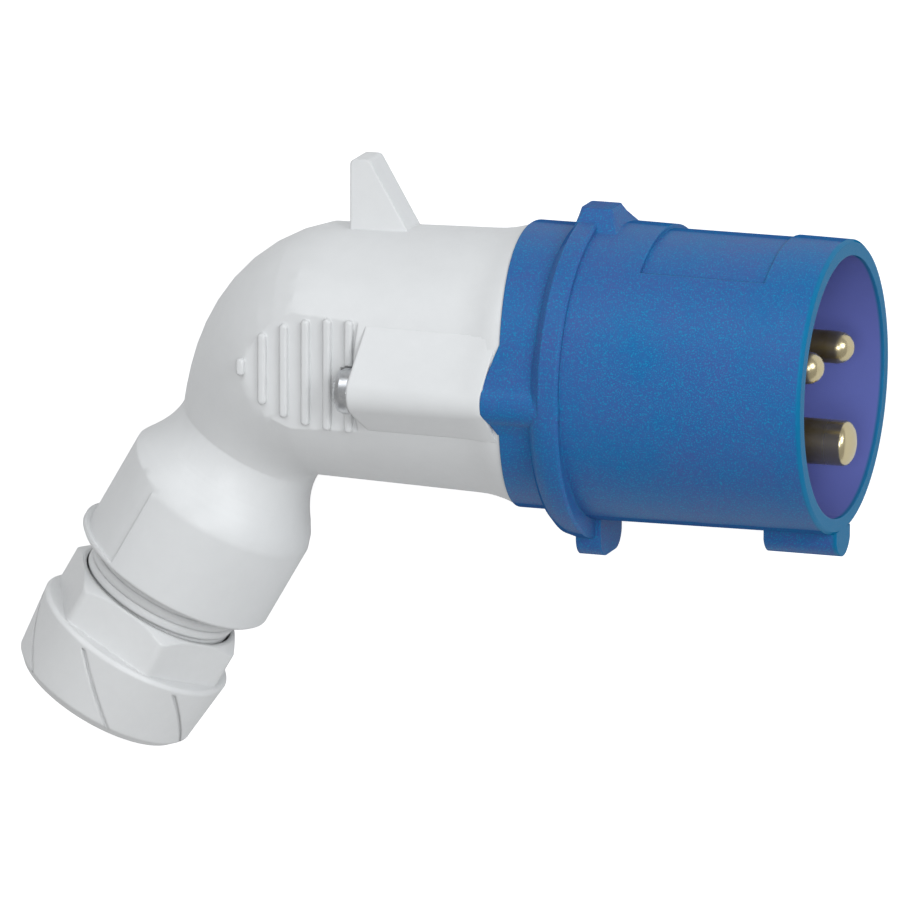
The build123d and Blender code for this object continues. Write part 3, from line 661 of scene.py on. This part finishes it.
def sink_the_cores(shape):
    """Draws the round screw cores a little inward, so that the swells below can cover them."""
    moved = 0
    for vertex in shape.verts:
        along, side, rise = in_plug(vertex.co)
        hand = 1.0 if side > 0 else -1.0
        across, up = abs(side) - BOSS_SIDE, rise - BOSS_RISE
        reach = math.hypot(across, up)
        on_core = abs(reach - CORE_R) < CORE_MARGIN and across > OUTER_HALF
        if BOSS_REAR - CORE_MARGIN < along < BOSS_FRONT and on_core:
            vertex.co += (SIDE_WAY * hand * across + FIN_WAY * up) * (CORE_SUNK_R / reach - 1.0)
            moved += 1
    return moved


print("core radius:", CORE_R, "sunk to:", CORE_SUNK_R)

# %% [markdown]
# Smooth skins. A real moulding is cut from smooth steel, but an exact solid reaches this lesson as
# flat triangles. Finer triangles would cost much and still show bands on the bend. A copy of the
# mesh with joined corners, shaded smooth and left sharp only where two faces meet at a real
# edge, keeps the measures and looks moulded. Only the neck and the cores above change.

# %% Smooth skins
SKINS = {
    "front_shroud": ("blue_skin", "housing", "blue_plastic", 30.0),
    "elbow_housing": ("elbow_skin", "housing", "grey_plastic", 24.0),
    "gland_nut": ("cap_nut_skin", "cap_nut", "grey_plastic", 20.0),
    "line_pin": ("line_pin_skin", "housing", "pin_brass", 40.0),
    "neutral_pin": ("neutral_pin_skin", "housing", "pin_brass", 40.0),
    "earth_pin": ("earth_pin_skin", "housing", "pin_brass", 40.0),
}
JOIN_WITHIN = 1e-6


def place_mesh(shape, title, material):
    """Turns a finished shape into an object of the scene, shaded smooth."""
    mesh = bpy.data.meshes.new(title)
    shape.to_mesh(mesh)
    shape.free()
    for face in mesh.polygons:
        face.use_smooth = True
    item = bpy.data.objects.new(title, mesh)
    bpy.context.collection.objects.link(item)
    item.data.materials.append(material)
    return item


def smooth_skin(node, title, body, sharp_deg):
    shape = bmesh.new()
    shape.from_mesh(nodes[node].data)
    bmesh.ops.remove_doubles(shape, verts=shape.verts, dist=JOIN_WITHIN)
    if node == "elbow_housing":
        print("core points sunk:", sink_the_cores(shape))
        print("neck points moved:", round_the_neck(shape))
    bmesh.ops.recalc_face_normals(shape, faces=shape.faces)
    for edge in shape.edges:
        bent = edge.calc_face_angle(math.pi) if edge.is_manifold else math.pi
        edge.smooth = bent < math.radians(sharp_deg)
    skin = place_mesh(shape, title, FINISHES[node])
    weighted = skin.modifiers.new("weighted", "WEIGHTED_NORMAL")
    weighted.keep_sharp = True
    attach(skin, body)
    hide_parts(node)
    return skin


for node, (title, body, slot, sharp_deg) in SKINS.items():
    skin = smooth_skin(node, title, body, sharp_deg)
    print(title, "faces:", len(skin.data.polygons))

# %% [markdown]
# The swells over the screw bosses. On the real moulding each screw runs in a boss that rises out of
# the tube as one smooth flank and ends in a slanted edge behind the screw head. The solid has
# the round core alone. A boolean could blend the two; a skin of sections is simpler, where each
# section runs from the tube, touches the core's circle, and comes back to the tube.

# %% Sections of the boss swells
SWELL_R = 0.00368
SWELL_TOP, SWELL_LOW = 0.0100, -0.0064
TUBE_REAR, TUBE_FRONT, FLARE_LENGTH, FLARE_STEPS = -0.0722, -0.0573, 0.0070, 4
TUBE_REAR_R, TUBE_FRONT_R, FLARE_R, R_DECIMALS = 0.01991, 0.02035, 0.02180, 5
SWELL_ARC_STEPS = 10
FOOT_SUNK, BASE_SUNK, SWELL_MIDDLE = 0.00003, 0.0009, -0.0650


def make_tube_rings():
    """Stations and radii, to 0.01 mm, of the tube: one straight taper, then the flare's rings."""
    rings = [(TUBE_REAR, TUBE_REAR_R)]
    for step in range(FLARE_STEPS + 1):
        share = step / FLARE_STEPS
        radius = TUBE_FRONT_R + (FLARE_R - TUBE_FRONT_R) * share**2
        rings.append((TUBE_FRONT + FLARE_LENGTH * share, round(radius, R_DECIMALS)))
    return rings


tube_rings = make_tube_rings()


def tube_radius(along):
    """Outer radius of the tube at a station."""
    for (low, low_r), (high, high_r) in zip(tube_rings, tube_rings[1:]):
        if along <= high:
            return low_r + (high_r - low_r) * (along - low) / (high - low)
    return tube_rings[-1][1]


def swell_section(along):
    """Points (side, up) of one section, from the upper foot over the core to the lower foot."""
    radius = tube_radius(along)
    feet = []
    for up in (SWELL_TOP, SWELL_LOW):
        rise = up + BOSS_RISE
        foot_r, base_r = radius - FOOT_SUNK, radius - BASE_SUNK
        side = math.sqrt(foot_r**2 - rise**2)
        feet.append(((side * base_r / foot_r, rise * base_r / foot_r - BOSS_RISE), (side, up)))
    turns = []
    for (_, (side, up)), way in zip(feet, (-1.0, 1.0)):
        away = math.hypot(side - BOSS_SIDE, up)
        turns.append(math.atan2(up, side - BOSS_SIDE) + way * math.acos(SWELL_R / away))
    arc = []
    for step in range(SWELL_ARC_STEPS + 1):
        turn = turns[0] + (turns[1] - turns[0]) * step / SWELL_ARC_STEPS
        arc.append((BOSS_SIDE + SWELL_R * math.cos(turn), SWELL_R * math.sin(turn)))
    return [*feet[0], *arc, *reversed(feet[1])]


print("points in a section:", len(swell_section(SWELL_MIDDLE)))

# %% [markdown]
# The ends of the swells. The rear edge leans forward above and below the screw, and the front
# edge follows the slanted edge of the blue boss at a small joint. Each slant is a rate times
# the height past a corner, which says the same as a drawn outline in two short lines.

# %% Swell ends and meshes
SWELL_REAR, SWELL_FRONT, SWELL_RINGS = -0.07215, -0.05075, 24
REAR_TOP_FROM, REAR_TOP_SLANT = 0.0025, 0.17
REAR_LOW_FROM, REAR_LOW_SLANT = -0.0034, 0.6
FRONT_TOP_FROM, FRONT_TOP_LIMIT, FRONT_TOP_SLANT = 0.0021, 0.0072, 0.25
FRONT_LOW_FROM, FRONT_LOW_LIMIT, FRONT_LOW_SLANT = -0.0013, 0.0035, 0.5
SWELL_SHARP_DEG = 30.0


def swell_ends(up):
    """Rear and front station of the swell at one height."""
    rear = SWELL_REAR + REAR_TOP_SLANT * max(0.0, up - REAR_TOP_FROM)
    rear += REAR_LOW_SLANT * max(0.0, REAR_LOW_FROM - up)
    front = SWELL_FRONT + FRONT_TOP_SLANT * min(FRONT_TOP_LIMIT, max(0.0, up - FRONT_TOP_FROM))
    front += FRONT_LOW_SLANT * min(FRONT_LOW_LIMIT, max(0.0, FRONT_LOW_FROM - up))
    return rear, front


def join_rings(shape, rings):
    """Joins closed rings of points with faces, and closes both ends."""
    for first, second in zip(rings, rings[1:]):
        for k in range(len(first)):
            after = (k + 1) % len(first)
            shape.faces.new((first[k], second[k], second[after], first[after]))
    shape.faces.new(rings[0])
    shape.faces.new(list(reversed(rings[-1])))


def make_swell(title, hand):
    shape = bmesh.new()
    heights = [up for _, up in swell_section(SWELL_MIDDLE)]
    rings = []
    for step in range(SWELL_RINGS + 1):
        ring = []
        for k, height in enumerate(heights):
            rear, front = swell_ends(height)
            along = rear + (front - rear) * step / SWELL_RINGS
            side, up = swell_section(along)[k]
            spot = mouth_axis * along + SIDE_WAY * (side * hand) + FIN_WAY * (up + BOSS_RISE)
            ring.append(shape.verts.new(mouth_place + spot))
        rings.append(ring)
    join_rings(shape, rings)
    bmesh.ops.triangulate(shape, faces=[face for face in shape.faces if len(face.verts) > 4])
    bmesh.ops.recalc_face_normals(shape, faces=shape.faces)
    for edge in shape.edges:
        edge.smooth = edge.calc_face_angle(math.pi) < math.radians(SWELL_SHARP_DEG)
    return place_mesh(shape, title, grey_shell)


swell_near = make_swell("boss_swell_near", 1.0)
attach(swell_near, "housing")
swell_far = make_swell("boss_swell_far", -1.0)
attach(swell_far, "housing")
print("swell faces:", len(swell_near.data.polygons), len(swell_far.data.polygons))

# %% [markdown]
# The gland's thread. Between collar and nut a few turns of a winding ridge show. A screw
# modifier could sweep them, but a direct sweep in code says exactly where each turn starts, ends
# and fades out, and keeps the mesh light. Its axis comes from the nut's own joint.

# %% Thread ridge
THREAD_FOOT_R, THREAD_CREASE_R, THREAD_CREST_R = 0.01155, 0.01215, 0.01252
THREAD_PITCH, HALF_WIDTH_SHARE = 0.0015, 0.498
THREAD_FROM, THREAD_TO = 0.0430, 0.0487
STEPS_PER_TURN, CREST_STEPS = 96, 8
FADE_TURNS, LEAST_LIFT = 0.60, 0.02


def outlet_frame():
    side = OUTLET_AXIS.orthogonal().normalized()
    return side, OUTLET_AXIS.cross(side)


def thread_profile(lift):
    """Corner points of the ridge: (offset along the axis, radius)."""
    half = THREAD_PITCH * HALF_WIDTH_SHARE
    corners = [(-half, THREAD_FOOT_R)]
    for step in range(CREST_STEPS + 1):
        share = 2 * step / CREST_STEPS - 1
        rise = (1 - share**2) ** 0.5
        radius = THREAD_CREASE_R + (THREAD_CREST_R - THREAD_CREASE_R) * rise
        corners.append((half * share, THREAD_FOOT_R + (radius - THREAD_FOOT_R) * lift))
    return corners + [(half, THREAD_FOOT_R)]


def make_thread():
    side, other = outlet_frame()
    turns = (THREAD_TO - THREAD_FROM) / THREAD_PITCH
    count = int(turns * STEPS_PER_TURN)
    shape = bmesh.new()
    rows = []
    for step in range(count + 1):
        turn = turns * step / count
        lift = min(1.0, turn / FADE_TURNS, (turns - turn) / FADE_TURNS)
        lift = max(lift, LEAST_LIFT)
        angle = 2 * math.pi * turn
        ray = side * math.cos(angle) + other * math.sin(angle)
        row = []
        for offset, radius in thread_profile(lift):
            station = THREAD_FROM + THREAD_PITCH * turn + offset - MARK_STATION
            row.append(shape.verts.new(OUTLET_MARK + OUTLET_AXIS * station + ray * radius))
        rows.append(row)
    join_rings(shape, rows)
    bmesh.ops.recalc_face_normals(shape, faces=shape.faces)
    return place_mesh(shape, "gland_thread", grey_shell)


thread = make_thread()
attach(thread, "housing")
print("thread faces:", len(thread.data.polygons))

# %% [markdown]
# The floor. The photograph has a white ground with hardly any shadow. A white floor would throw
# much light back up at the plug. A pale grey one that glows for the camera, and a little for
# mirror rays, but lights nothing else, keeps the plug's soft shadow and still comes out white.

# %% Floor
FLOOR_SIZE, FLOOR_GREY = 6.0, 0.62
FLOOR_GLOW, MIRROR_SHARE = 0.75, 0.30


def make_floor():
    shape = bmesh.new()
    bmesh.ops.create_grid(shape, x_segments=1, y_segments=1, size=FLOOR_SIZE)
    mesh = bpy.data.meshes.new("studio_floor")
    shape.to_mesh(mesh)
    shape.free()
    floor = bpy.data.objects.new("studio_floor", mesh)
    bpy.context.collection.objects.link(floor)
    material = bpy.data.materials.new("studio_floor")
    material.use_nodes = True
    tree = material.node_tree
    tree.nodes.clear()
    output = tree.nodes.new("ShaderNodeOutputMaterial")
    matt = tree.nodes.new("ShaderNodeBsdfDiffuse")
    matt.inputs["Color"].default_value = (FLOOR_GREY, FLOOR_GREY, FLOOR_GREY, 1.0)
    glow = tree.nodes.new("ShaderNodeEmission")
    path = tree.nodes.new("ShaderNodeLightPath")
    mirrored = maths(tree, "MULTIPLY", path.outputs["Is Glossy Ray"], MIRROR_SHARE)
    seen = maths(tree, "MAXIMUM", path.outputs["Is Camera Ray"], mirrored)
    seen = maths(tree, "MAXIMUM", seen, path.outputs["Is Transmission Ray"])
    join(tree, maths(tree, "MULTIPLY", seen, FLOOR_GLOW), glow.inputs["Strength"])
    both = tree.nodes.new("ShaderNodeAddShader")
    join(tree, matt.outputs["BSDF"], both.inputs[0])
    join(tree, glow.outputs["Emission"], both.inputs[1])
    join(tree, both.outputs["Shader"], output.inputs["Surface"])
    floor.data.materials.append(material)
    return floor


floor = make_floor()
print("floor size:", FLOOR_SIZE)

# %% [markdown]
# Lamps and world. Soft studio light wraps round the plug: one large soft lamp from above the
# fin, one small near the camera and one before the mouth for the pins. A single big lamp would
# leave the shroud dark inside. The world fills the rest and is plain white for the camera.

# %% Lamps and world
LAMPS = {
    "top_softbox": ((-0.25, 0.95, 1.00), 0.9, 5.0, (0.94, 0.97, 1.0)),
    "front_softbox": ((0.42, 0.02, 1.33), 0.45, 5.0, (0.96, 0.98, 1.0)),
    "mouth_softbox": ((1.10, 0.45, 1.00), 0.7, 9.0, (0.95, 0.98, 1.0)),
}
WORLD_LIGHT = 0.44


def make_lamp(name, place, size, power, colour):
    data = bpy.data.lights.new(name, "AREA")
    data.shape, data.size, data.energy, data.color = "DISK", size, power, colour
    lamp = bpy.data.objects.new(name, data)
    bpy.context.collection.objects.link(lamp)
    lamp.location = place
    aim = CAMERA_AIM - Vector(place)
    lamp.rotation_euler = aim.to_track_quat("-Z", "Y").to_euler()
    return lamp


for name, values in LAMPS.items():
    make_lamp(name, *values)


def make_world():
    world = bpy.data.worlds.new("studio")
    bpy.context.scene.world = world
    world.use_nodes = True
    tree = world.node_tree
    tree.nodes.clear()
    output = tree.nodes.new("ShaderNodeOutputWorld")
    sky = tree.nodes.new("ShaderNodeBackground")
    sky.inputs["Color"].default_value = (1.0, 1.0, 1.0, 1.0)
    path = tree.nodes.new("ShaderNodeLightPath")
    camera_ray, clear_ray = path.outputs["Is Camera Ray"], path.outputs["Is Transmission Ray"]
    seen = maths(tree, "MAXIMUM", camera_ray, clear_ray)
    strength = remap(tree, seen, 0.0, 1.0, out_low=WORLD_LIGHT)
    join(tree, strength, sky.inputs["Strength"])
    join(tree, sky.outputs["Background"], output.inputs["Surface"])


make_world()
bpy.context.scene.view_settings.view_transform = "Standard"
print("lamps:", len(LAMPS), "world:", WORLD_LIGHT)
